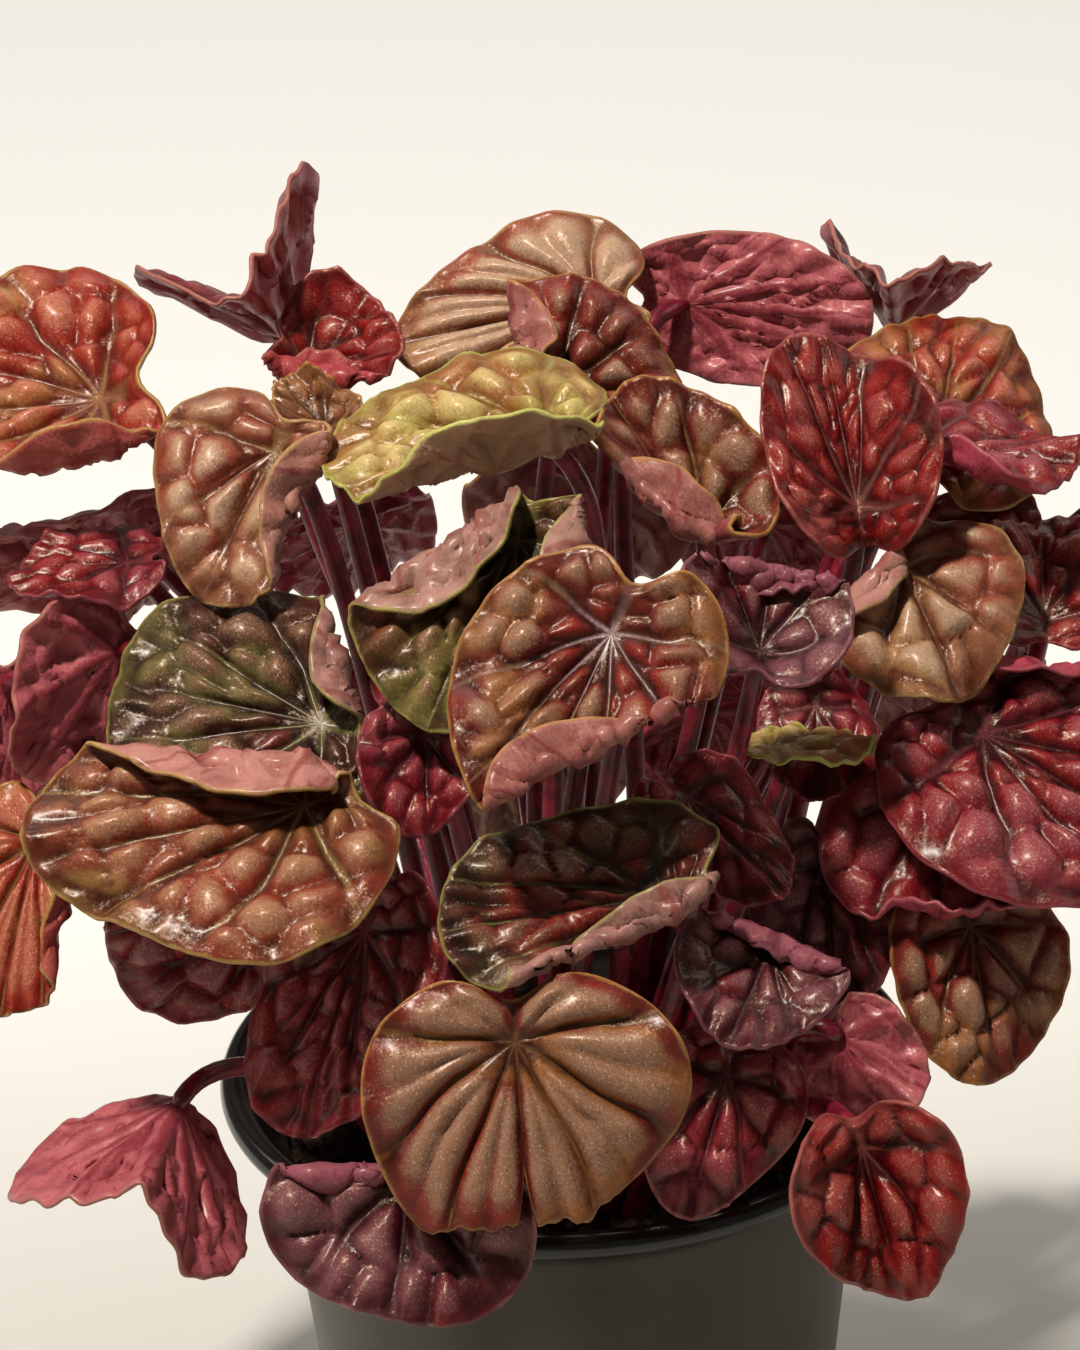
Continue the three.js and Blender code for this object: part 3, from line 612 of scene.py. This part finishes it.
def stalk_curve(leaf):
    """The stalk's four Bezier points, from its foot in the soil to its joint"""
    _, tip, face, joint = leaf_frame(leaf)
    foot = np.array(leaf["at"][:2], float) * TUFT_SHARE
    if np.linalg.norm(foot) > TUFT_RADIUS:
        foot *= TUFT_RADIUS / np.linalg.norm(foot)
    foot += leaf.get("root", [0, 0])
    start = np.array([foot[0], foot[1], SOIL_TOP - STALK_DEPTH])
    end = joint - face * 0.5 * BLADE
    reach = np.linalg.norm(end - start)
    rise = unit(np.array([foot[0], foot[1], RISE]))
    back = -tip * math.cos(STALK_SLANT) - face * math.sin(STALK_SLANT)
    bow = np.array(leaf.get("bow", [0, 0, 0]), float)
    low = start + rise * LOW_HANDLE * reach + bow
    high = end + back * leaf.get("neck", NECK) * reach + bow
    return start, low, high, end


def stalk_mesh(leaf):
    """Points, quads and end caps of a round tube along the stalk, narrowest inside the blade"""
    a, b, c, d = stalk_curve(leaf)
    t = np.linspace(0, 1, STALK_STEPS)[:, None]
    line = (1 - t) ** 3 * a + 3 * (1 - t) ** 2 * t * b + 3 * (1 - t) * t**2 * c + t**3 * d
    run = np.gradient(line, axis=0)
    run /= np.linalg.norm(run, axis=1, keepdims=True)
    first = np.zeros_like(run)
    across = np.cross(run[0], [0.3, 0.9, 0.1])
    for i in range(STALK_STEPS):
        across = unit(across - run[i] * (across @ run[i]))
        first[i] = across
    second = np.cross(run, first)
    wide = STALK_FOOT_RADIUS + (STALK_RADIUS - STALK_FOOT_RADIUS) * t[:, 0]
    wide[-1] *= STALK_END
    turn = np.linspace(0, 2 * np.pi, STALK_SIDES, endpoint=False)[None, :, None]
    ring = np.cos(turn) * first[:, None] + np.sin(turn) * second[:, None]
    points = (line[:, None] + ring * wide[:, None, None]).reshape(-1, 3)
    at = np.arange(STALK_STEPS * STALK_SIDES).reshape(STALK_STEPS, STALK_SIDES)
    a, b = at[:-1], at[1:]
    quads = np.stack([a, np.roll(a, -1, 1), np.roll(b, -1, 1), b], axis=-1).reshape(-1, 4)
    return points, quads, [at[0][::-1], at[-1]]


def mesh_object(name, points, faces, materials, indices=None, skin=None):
    """A smooth mesh object from mm points, with its skin attributes"""
    mesh = bpy.data.meshes.new(name)
    mesh.from_pydata((np.asarray(points) * MM).tolist(), [], [list(map(int, f)) for f in faces])
    for material in materials:
        mesh.materials.append(material)
    if indices is not None:
        mesh.polygons.foreach_set("material_index", np.asarray(indices, dtype=np.int32))
    mesh.polygons.foreach_set("use_smooth", np.ones(len(mesh.polygons), dtype=bool))
    for key, values in (skin or {}).items():
        layer = mesh.attributes.new(key, "FLOAT", "POINT")
        layer.data.foreach_set("value", np.asarray(values, dtype=np.float32))
    mesh.update()
    thing = bpy.data.objects.new(name, mesh)
    bpy.context.scene.collection.objects.link(thing)
    return thing


class Nodes:
    """Shorthand for building a material's node tree"""

    def __init__(self, name):
        self.material = bpy.data.materials.new(name)
        self.material.use_nodes = True
        self.tree = self.material.node_tree
        self.shader = self.tree.nodes["Principled BSDF"]

    def new(self, kind, **inputs):
        node = self.tree.nodes.new(kind)
        for key, value in inputs.items():
            self.put(node.inputs[key.replace("_", " ")], value)
        return node

    def put(self, socket, value):
        """Links a socket to another, or sets its value"""
        if isinstance(value, bpy.types.NodeSocket):
            self.tree.links.new(value, socket)
        else:
            socket.default_value = value

    def attribute(self, name):
        node = self.new("ShaderNodeAttribute")
        node.attribute_name = name
        return node.outputs["Fac"]

    def math(self, operation, a, b):
        node = self.new("ShaderNodeMath")
        node.operation = operation
        self.put(node.inputs[0], a)
        self.put(node.inputs[1], b)
        return node.outputs[0]

    def plus(self, a, b, times):
        """a and a number of times b"""
        return self.math("ADD", a, self.math("MULTIPLY", b, times))

    def vector(self, operation, *values):
        node = self.new("ShaderNodeVectorMath")
        node.operation = operation
        for i, value in enumerate(values):
            self.put(node.inputs[i], value)
        return node.outputs[0]

    def mix(self, factor, a, b):
        """Colour a where the factor is 0, b where it is 1"""
        node = self.new("ShaderNodeMix")
        node.data_type = "RGBA"
        self.put(node.inputs[0], factor)
        self.put(node.inputs[6], a)
        self.put(node.inputs[7], b)
        return node.outputs[2]

    def ramp(self, factor, start, end, low=0.0, high=1.0):
        """Goes smoothly from low to high as the factor goes from start to end"""
        node = self.new("ShaderNodeMapRange")
        node.interpolation_type = "SMOOTHSTEP"
        for i, value in enumerate((factor, start, end, low, high)):
            self.put(node.inputs[i], value)
        return node.outputs[0]

    def fade(self, factor, start, end, full):
        """Goes smoothly from full to nothing as the factor goes from start to end"""
        return self.ramp(factor, start, end, full, 0.0)

    def place(self):
        """The point's place in metres"""
        return self.new("ShaderNodeTexCoord").outputs["Object"]

    def noise(self, scale, detail=3.0, rough=0.55):
        node = self.new(
            "ShaderNodeTexNoise", Vector=self.place(), Scale=scale, Detail=detail, Roughness=rough
        )
        return node.outputs["Fac"]

    def bump(self, height, strength, distance):
        node = self.new("ShaderNodeBump", Height=height, Strength=strength, Distance=distance)
        return node.outputs["Normal"]

    def glitter(self, normal, scale, strength):
        """Tilts the normal cell by cell, as the skin's cells catch the light one by one"""
        cells = self.new("ShaderNodeTexVoronoi", Vector=self.place(), Scale=scale)
        middle = (-0.5 * strength,) * 3
        tilt = self.vector("MULTIPLY_ADD", cells.outputs["Color"], (strength,) * 3, middle)
        return self.vector("NORMALIZE", self.vector("ADD", normal, tilt))

    def finish(self, **inputs):
        for key, value in inputs.items():
            self.put(self.shader.inputs[key.replace("_", " ")], value)
        return self.material


def leaf_skin(tone):
    """Quilted leaf skin: valleys darkened with painted shade, slopes, crests paled with painted sheen, veins and
    margin, and a paler veined underside
    """
    shaded_valley_and_speck, slope, crest, edge, under, dark_vein = map(linear, TONES[tone])
    m = Nodes("skin_" + tone)
    vein = m.attribute("vein")
    rim = m.attribute("rim")
    below = m.attribute("under")
    cloud = m.noise(75.0, 3.0)
    blotch = m.noise(240.0, 4.0)
    speck = m.noise(1900.0, 2.0)
    patch = m.noise(48.0, 2.0)
    glint = m.noise(3100.0, 2.0)
    # The quilting's height with blotches: the mask for the painted shade low down and the painted sheen and glints up
    # high
    shade_and_sheen_height = m.plus(m.attribute("crest"), m.math("SUBTRACT", blotch, 0.5), 0.8)

    # Valleys, then slopes with redder and greener patches, then crests: the leaf's own colours, with painted shade in
    # the valleys and painted sheen on the crests
    flank = m.mix(m.ramp(patch, 0.5, 0.62, 0.0, 0.5), slope, linear(FLUSH))
    flank = m.mix(m.fade(patch, 0.38, 0.48, 0.4), flank, edge)
    upper = m.mix(m.ramp(shade_and_sheen_height, 0.05, 0.6), shaded_valley_and_speck, flank)
    upper = m.mix(m.ramp(m.math("ADD", shade_and_sheen_height, cloud), 0.95, 1.55, 0.0, 0.95), upper, crest)

    # Veins: golden here and there, paler near the joint, and pale lines on a starred leaf
    near = m.ramp(m.plus(m.attribute("share"), cloud, 0.5), 0.25, 0.6, 1.0, 0.25)
    gold = m.fade(m.math("ADD", vein, blotch), 0.7, 1.3, 0.3)
    upper = m.mix(m.math("MULTIPLY", gold, m.ramp(cloud, 0.4, 0.6)), upper, edge)
    line = m.fade(m.plus(vein, blotch, 0.4), 0.2, 0.5, 0.3)
    upper = m.mix(m.math("MULTIPLY", line, near), upper, crest)
    star = m.math("MULTIPLY", m.fade(m.plus(vein, blotch, 0.5), 0.35, 0.75, 0.9), near)
    upper = m.mix(m.math("MULTIPLY", star, m.attribute("star")), upper, linear(STAR))

    # Dark specks, glints on the crests, and a plainer band inside the margin
    upper = m.mix(m.ramp(speck, 0.58, 0.75, 0.0, 0.5), upper, shaded_valley_and_speck)
    shine = m.math("MULTIPLY", m.ramp(shade_and_sheen_height, 0.3, 1.0), m.ramp(glint, 0.57, 0.72, 0.0, 0.4))
    upper = m.mix(shine, upper, linear(GLINT))
    upper = m.mix(m.fade(m.plus(rim, cloud, 3.0), 1.5, 4.5, 0.5), upper, flank)

    # The underside, with a net of darker veins
    lower = m.mix(m.ramp(blotch, 0.35, 0.75, 0.0, 0.6), under, slope)
    net = m.math("MINIMUM", vein, m.math("ADD", m.attribute("seam"), 0.12))
    lower = m.mix(m.fade(net, 0.15, 0.6, 0.75), lower, dark_vein)

    colour = m.mix(below, upper, lower)
    colour = m.mix(m.fade(m.plus(rim, blotch, 1.6), 0.7, 1.5, 0.8), colour, edge)
    return m.finish(
        Base_Color=colour,
        Roughness=m.plus(m.ramp(blotch, 0.3, 0.7, 0.34, 0.46), below, 0.14),
        Normal=m.glitter(m.bump(m.noise(650.0, 3.0), 0.25, 0.0004), 3000.0, 0.3),
        Specular_Tint=linear(GLOSS_TINT),
        Subsurface_Weight=0.12,
        Subsurface_Radius=(1.0, 0.2, 0.12),
        Subsurface_Scale=0.0015,
        Specular_IOR_Level=0.45,
        Coat_Weight=0.2,
        Coat_Roughness=0.24,
    )


def stalk_skin():
    """Dark red skin with a fine grain, a little translucent"""
    m = Nodes("stalk_skin")
    return m.finish(
        Base_Color=m.mix(m.ramp(m.noise(260.0, 3.0), 0.35, 0.7), *map(linear, STALK_COLOURS)),
        Roughness=0.34,
        Normal=m.glitter(m.bump(m.noise(700.0), 0.2, 0.0002), 2600.0, 0.15),
        Subsurface_Weight=0.2,
        Subsurface_Radius=(1.0, 0.2, 0.12),
        Subsurface_Scale=0.002,
    )


def leaf_piece(leaf, skin, stalk):
    """One leaf, blade and stalk, in place of its solid"""
    points, blade, shades = blade_mesh(leaf)
    tube, sides, caps = stalk_mesh(leaf)
    total = len(points)
    faces = blade.tolist() + (sides + total).tolist() + [(cap + total).tolist() for cap in caps]
    indices = [0] * len(blade) + [1] * (len(sides) + len(caps))
    shades = {key: np.concatenate([shade, np.zeros(len(tube))]) for key, shade in shades.items()}
    everything = np.concatenate([points, tube])
    piece = mesh_object("blade_%02d" % leaf["n"], everything, faces, [skin, stalk], indices, shades)
    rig.ride(piece, "root")
    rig.replaces(piece, "leaf_%02d" % leaf["n"])
    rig.slot(piece, "leaf_" + leaf["tone"])


def rounded(points, steps):
    """Rounds the corners of a profile by a few passes of corner cutting"""
    line = np.array(points, float)
    for _ in range(steps):
        near = 0.75 * line[:-1] + 0.25 * line[1:]
        far = 0.25 * line[:-1] + 0.75 * line[1:]
        middle = np.stack([near, far], axis=1).reshape(-1, 2)
        line = np.concatenate([line[:1], middle, line[-1:]])
    return line


def pot_plastic():
    """Dark moulded plastic, matt on the wall and glossy on the lip, which is painted near black as a painted dark
    reflection
    """
    m = Nodes("pot_plastic")
    cloud = m.noise(30.0, 3.0)
    height = m.new("ShaderNodeSeparateXYZ", Vector=m.place()).outputs["Z"]
    # The lip band: glossier, and painted near black as a painted dark reflection
    lip = m.ramp(height, 0.093, 0.099)
    wall = m.mix(m.ramp(cloud, 0.3, 0.7), *map(linear, POT_WALL_COLOURS))
    dull = m.ramp(cloud, 0.3, 0.7, 0.42, 0.5)
    return m.finish(
        Base_Color=m.mix(lip, wall, linear(POT_LIP_DARK_REFLECTION)),
        Roughness=m.math("SUBTRACT", dull, m.math("MULTIPLY", lip, 0.3)),
        Normal=m.bump(m.noise(1400.0, 2.0), 0.12, 0.0002),
    )


def pot_profile():
    """(radius, height) from the middle of the foot, up the wall and over the lip to the soil"""
    flare = POT_HEIGHT - LIP_DROP
    outer = [
        (0.01, 0),
        (FOOT_RADIUS - 2, 0),
        (FOOT_RADIUS - 0.2, 0.2),
        (FOOT_RADIUS, 2),
    ]
    lip = [
        (WALL_TOP_RADIUS, flare),
        (WALL_TOP_RADIUS + 1.6, flare + 0.9),
        (WALL_TOP_RADIUS + 4.2, flare + 3.0),
        (LIP_RADIUS - 1.2, POT_HEIGHT - 4.6),
        (LIP_RADIUS + 0.4, POT_HEIGHT - 2.6),
        (LIP_RADIUS - 0.2, POT_HEIGHT - 0.2),
        (LIP_RADIUS - 2.4, POT_HEIGHT + 0.4),
        (LIP_RADIUS - LIP_WIDTH, POT_HEIGHT - 0.9),
        (WALL_TOP_RADIUS + 2.4 - WALL, flare + 4),
        (WALL_TOP_RADIUS - WALL, flare),
    ]
    inner = [(WALL_TOP_RADIUS - WALL - 2.6, SOIL_TOP - 20)]
    return outer + list(map(tuple, rounded(lip, 2))) + inner


def pot_piece():
    """The pot, turned from its profile"""
    turn = np.linspace(0, 2 * np.pi, POT_SIDES, endpoint=False)
    profile = pot_profile()
    points = []
    for radius, height in profile:
        points += [(radius * math.cos(a), radius * math.sin(a), height) for a in turn]
    faces = []
    for low in range(0, (len(profile) - 1) * POT_SIDES, POT_SIDES):
        high = low + POT_SIDES
        for s in range(POT_SIDES):
            t = (s + 1) % POT_SIDES
            faces.append((low + s, low + t, high + t, high + s))
    piece = mesh_object("nursery_pot", points, faces, [pot_plastic()])
    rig.ride(piece, "root")
    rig.replaces(piece, "pot")
    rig.slot(piece, "pot")


def soil_crumbs():
    """Dark brown soil, rough and grainy"""
    m = Nodes("soil_crumbs")
    grain = m.noise(420.0, 6.0, 0.7)
    return m.finish(
        Base_Color=m.mix(m.ramp(grain, 0.35, 0.75), *map(linear, SOIL_COLOURS)),
        Roughness=0.95,
        Normal=m.bump(grain, 0.9, 0.0012),
        Specular_IOR_Level=0.2,
    )


def soil_surface(draw, edge):
    """Points and faces of a lumpy disc"""
    points = [(0, 0, SOIL_TOP)]
    for k in range(1, SOIL_RINGS + 1):
        for s in range(SOIL_SIDES):
            a = 2 * math.pi * s / SOIL_SIDES
            x, y = edge * k / SOIL_RINGS * math.cos(a), edge * k / SOIL_RINGS * math.sin(a)
            lump = 0.9 * math.sin(0.31 * x + 1.2) * math.cos(0.27 * y)
            lump += 0.5 * math.sin(0.9 * x + 0.7 * y)
            grit = 0.5 * draw.standard_normal() * (k < SOIL_RINGS)
            points.append((x, y, SOIL_TOP + lump + grit))
    faces = [(0, 1 + s, 1 + (s + 1) % SOIL_SIDES) for s in range(SOIL_SIDES)]
    for a in range(1, (SOIL_RINGS - 1) * SOIL_SIDES + 1, SOIL_SIDES):
        b = a + SOIL_SIDES
        for s in range(SOIL_SIDES):
            t = (s + 1) % SOIL_SIDES
            faces.append((a + s, b + s, b + t, a + t))
    return points, faces


def soil_bit(draw, edge, fibre):
    """The corners of one crumb or fibre, somewhere on the soil"""
    far = edge * 0.98 * math.sqrt(draw.random())
    a = 2 * math.pi * draw.random()
    size = draw.uniform(0.5, 1.7) * np.array([1, draw.uniform(0.4, 1), draw.uniform(0.3, 0.8)])
    if fibre:
        size = np.array([draw.uniform(2, 6), 0.22, 0.2])
    spin = draw.random() * math.pi
    tilt = draw.uniform(-0.4, 0.4)
    bit = CRUMB * size * draw.uniform(0.75, 1.25, (6, 1))
    y = bit[:, 1]
    x = bit[:, 0] * math.cos(tilt) - bit[:, 2] * math.sin(tilt)
    z = bit[:, 0] * math.sin(tilt) + bit[:, 2] * math.cos(tilt)
    turned_x = x * math.cos(spin) - y * math.sin(spin)
    turned_y = x * math.sin(spin) + y * math.cos(spin)
    home = (far * math.cos(a), far * math.sin(a), SOIL_TOP + 0.6)
    return np.stack([turned_x, turned_y, z], axis=1) + home


def soil_piece():
    """The soil's surface with crumbs and fibres on it, in one mesh"""
    draw = np.random.default_rng(SOIL_SEED)
    edge = WALL_TOP_RADIUS - WALL - 0.6
    points, faces = soil_surface(draw, edge)
    for i in range(SOIL_BITS):
        start = len(points)
        points += map(tuple, soil_bit(draw, edge, i % FIBRE_EVERY == 0))
        faces += [tuple(start + corner for corner in face) for face in CRUMB_FACES]
    piece = mesh_object("potting_soil", points, faces, [soil_crumbs()])
    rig.ride(piece, "root")
    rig.replaces(piece, "soil")
    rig.slot(piece, "soil")


def photo_camera():
    """The camera at the photo's place, turned and zoomed as it was"""
    forward = Vector((0, math.cos(PITCH), -math.sin(PITCH)))
    level = Vector((0, math.sin(PITCH), math.cos(PITCH)))
    right = Vector((1, 0, 0)) * math.cos(TILT) - level * math.sin(TILT)
    up = Vector((1, 0, 0)) * math.sin(TILT) + level * math.cos(TILT)
    turn = Matrix((right, up, -forward)).transposed().to_4x4()
    camera = bpy.data.objects.new("camera", bpy.data.cameras.new("camera"))
    camera.matrix_world = Matrix.Translation(Vector(EYE) * MM) @ turn
    camera.data.sensor_width = SENSOR
    camera.data.lens = FOCAL_PIXELS / PHOTO_HEIGHT * SENSOR
    camera.data.clip_start = 0.01
    bpy.context.scene.collection.objects.link(camera)
    bpy.context.scene.camera = camera


def lamp(name, place, size, energy, colour, aim):
    """A rectangular soft light"""
    data = bpy.data.lights.new(name, "AREA")
    data.shape = "RECTANGLE"
    data.size, data.size_y = size
    data.energy = energy
    data.color = colour
    thing = bpy.data.objects.new(name, data)
    thing.location = place
    thing.rotation_euler = (Vector(aim) - Vector(place)).to_track_quat("-Z", "Y").to_euler()
    bpy.context.scene.collection.objects.link(thing)


def soft_world():
    """Faint even light from all round"""
    world = bpy.data.worlds.new("studio")
    world.use_nodes = True
    background = world.node_tree.nodes["Background"]
    background.inputs["Color"].default_value = WORLD_COLOUR
    background.inputs["Strength"].default_value = WORLD_STRENGTH
    bpy.context.scene.world = world
    bpy.context.scene.view_settings.view_transform = "Standard"


def paper_floor():
    """A wide pale floor with painted shade, a little darker under the pot than behind it"""
    m = Nodes("paper_floor")
    # Painted shade: the paper darkens towards the front, near the pot
    depth = m.new("ShaderNodeSeparateXYZ", Vector=m.place()).outputs["Y"]
    depth = m.plus(depth, m.noise(4.0, 2.0), 0.06)
    paper = m.finish(
        Base_Color=m.mix(m.ramp(depth, 0.06, 0.36), *map(linear, PAPER_SHADE_AND_PLAIN)),
        Roughness=0.9,
    )
    far = FLOOR_REACH
    points = [(-far, -far, 0), (far, -far, 0), (far, far, 0), (-far, far, 0)]
    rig.stage(mesh_object("paper_floor", points, [(0, 1, 2, 3)], [paper]))


def leaf_of(row, number):
    """A leaf from its row, with its number, its defaults and its rolls' distances from the joint"""
    leaf = {"cup": 0, "fold": 0, "wave": WAVE, "rolls": [], **row, "n": number}
    leaf["pucker"] = min(TALLEST, PUCKER * leaf["size"][0])
    rolls = leaf["rolls"]
    leaf["rolls"] = [[side, reach_of(leaf, side) - wide, *bend] for side, wide, *bend in rolls]
    return leaf


photo_camera()
for values in LAMPS:
    lamp(*values)
soft_world()
paper_floor()
skins = {tone: leaf_skin(tone) for tone in TONES}
stalk = stalk_skin()
for number, row in enumerate(LEAVES, start=1):
    leaf_piece(leaf_of(row, number), skins[row["tone"]], stalk)
soil_piece()
pot_piece()

note_box("visual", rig.bounds())
